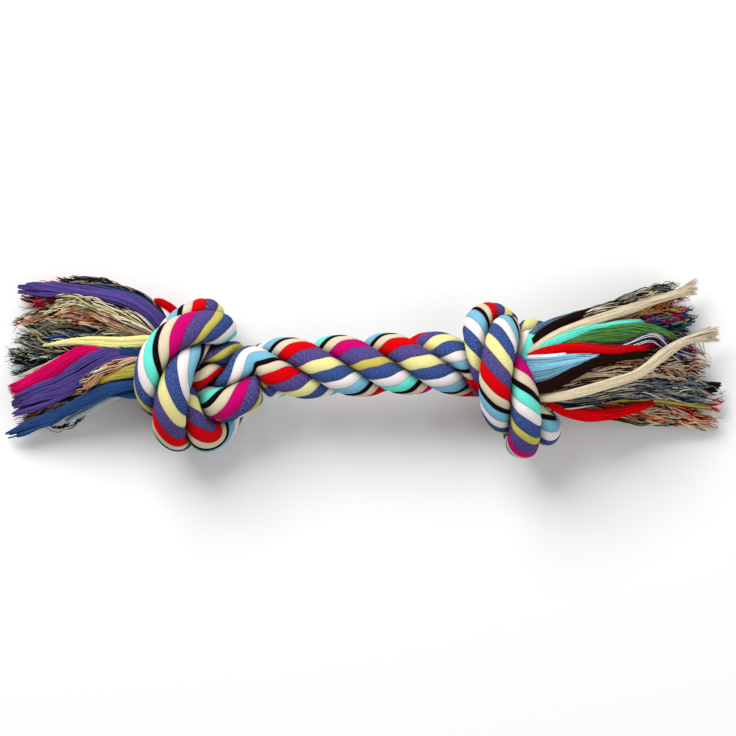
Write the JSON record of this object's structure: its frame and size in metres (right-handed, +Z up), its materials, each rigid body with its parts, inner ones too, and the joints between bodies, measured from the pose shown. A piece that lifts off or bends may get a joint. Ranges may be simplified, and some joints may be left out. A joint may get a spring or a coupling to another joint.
{
  "type": "rope dog toy",
  "caption": "Thick three-strand cotton rope in striped colours, an overhand knot near each end and the unlaid ends left as frayed tassels, for a dog to chew and tug.",
  "frame": {"origin": "middle of the bounding box at its lowest height, on the floor", "axes": "+X along the toy towards the tassel on the right of the picture, +Y towards the picture's top edge, +Z up out of the floor"},
  "size_m": [0.3702, 0.0918, 0.0703],
  "materials": {
    "magenta_strand": "matt spun cotton",
    "red_strand": "matt spun cotton",
    "scarlet_strand": "matt spun cotton",
    "left_tassel_navy_yarns": "matt spun cotton",
    "left_tassel_purple_sliver": "matt spun cotton",
    "left_tassel_peach_core": "matt spun cotton",
    "left_tassel_yellow_sliver": "matt spun cotton",
    "left_tassel_magenta_sliver": "matt spun cotton",
    "left_tassel_plum_sliver": "matt spun cotton",
    "left_tassel_black_core": "matt spun cotton",
    "left_tassel_rust_core": "matt spun cotton",
    "left_tassel_grey_core": "matt spun cotton",
    "left_tassel_teal_core": "matt spun cotton",
    "left_tassel_mustard_sliver": "matt spun cotton",
    "left_tassel_blue_sliver": "matt spun cotton",
    "right_tassel_brown_sliver": "matt spun cotton",
    "right_tassel_cream_sliver": "matt spun cotton",
    "right_tassel_green_sliver": "matt spun cotton",
    "right_tassel_red_sliver": "matt spun cotton",
    "right_tassel_sky_sliver": "matt spun cotton",
    "right_tassel_ivory_sliver": "matt spun cotton",
    "right_tassel_grey_core": "matt spun cotton",
    "right_tassel_orange_core": "matt spun cotton",
    "right_tassel_plum_core": "matt spun cotton",
    "right_tassel_umber_core": "matt spun cotton",
    "right_tassel_navy_core": "matt spun cotton",
    "right_tassel_scarlet_sliver": "matt spun cotton"
  },
  "bodies": {
    "left_half": {"magenta_strand_left": "magenta_strand", "red_strand_left": "red_strand", "scarlet_strand_left": "scarlet_strand"},
    "right_half": {"magenta_strand_right": "magenta_strand", "red_strand_right": "red_strand", "scarlet_strand_right": "scarlet_strand"},
    "left_tassel": {"left_tassel_navy_yarns": "left_tassel_navy_yarns", "left_tassel_purple_sliver": "left_tassel_purple_sliver", "left_tassel_peach_core": "left_tassel_peach_core", "left_tassel_yellow_sliver": "left_tassel_yellow_sliver", "left_tassel_magenta_sliver": "left_tassel_magenta_sliver", "left_tassel_plum_sliver": "left_tassel_plum_sliver", "left_tassel_black_core": "left_tassel_black_core", "left_tassel_rust_core": "left_tassel_rust_core", "left_tassel_grey_core": "left_tassel_grey_core", "left_tassel_teal_core": "left_tassel_teal_core", "left_tassel_mustard_sliver": "left_tassel_mustard_sliver", "left_tassel_blue_sliver": "left_tassel_blue_sliver"},
    "right_tassel": {"right_tassel_brown_sliver": "right_tassel_brown_sliver", "right_tassel_cream_sliver": "right_tassel_cream_sliver", "right_tassel_green_sliver": "right_tassel_green_sliver", "right_tassel_red_sliver": "right_tassel_red_sliver", "right_tassel_sky_sliver": "right_tassel_sky_sliver", "right_tassel_ivory_sliver": "right_tassel_ivory_sliver", "right_tassel_grey_core": "right_tassel_grey_core", "right_tassel_orange_core": "right_tassel_orange_core", "right_tassel_plum_core": "right_tassel_plum_core", "right_tassel_umber_core": "right_tassel_umber_core", "right_tassel_navy_core": "right_tassel_navy_core", "right_tassel_scarlet_sliver": "right_tassel_scarlet_sliver"}
  },
  "joints": [
    {"name": "rope_bend", "type": "hinge", "parent": "left_half", "child": "right_half", "pos_m": [-0.0072, 0.0011, 0.0408], "axis": [0, 0, 1], "range_deg": [-35, 35], "stiffness_Nm_per_rad": 0.4, "deforming": ["magenta_strand_left", "red_strand_left", "scarlet_strand_left", "magenta_strand_right", "red_strand_right", "scarlet_strand_right"]},
    {"name": "left_tassel_lift", "type": "hinge", "parent": "left_half", "child": "left_tassel", "pos_m": [-0.1202, 0.0008, 0.0308], "axis": [0, 1, 0], "range_deg": [0, 45], "deforming": ["left_tassel_navy_yarns", "left_tassel_purple_sliver", "left_tassel_peach_core", "left_tassel_yellow_sliver", "left_tassel_magenta_sliver", "left_tassel_plum_sliver", "left_tassel_black_core", "left_tassel_rust_core", "left_tassel_grey_core", "left_tassel_teal_core", "left_tassel_mustard_sliver", "left_tassel_blue_sliver"]},
    {"name": "right_tassel_lift", "type": "hinge", "parent": "right_half", "child": "right_tassel", "pos_m": [0.107, 0.0014, 0.0408], "axis": [0, -1, 0], "range_deg": [0, 45], "deforming": ["right_tassel_brown_sliver", "right_tassel_cream_sliver", "right_tassel_green_sliver", "right_tassel_red_sliver", "right_tassel_sky_sliver", "right_tassel_ivory_sliver", "right_tassel_grey_core", "right_tassel_orange_core", "right_tassel_plum_core", "right_tassel_umber_core", "right_tassel_navy_core", "right_tassel_scarlet_sliver"]}
  ]
}
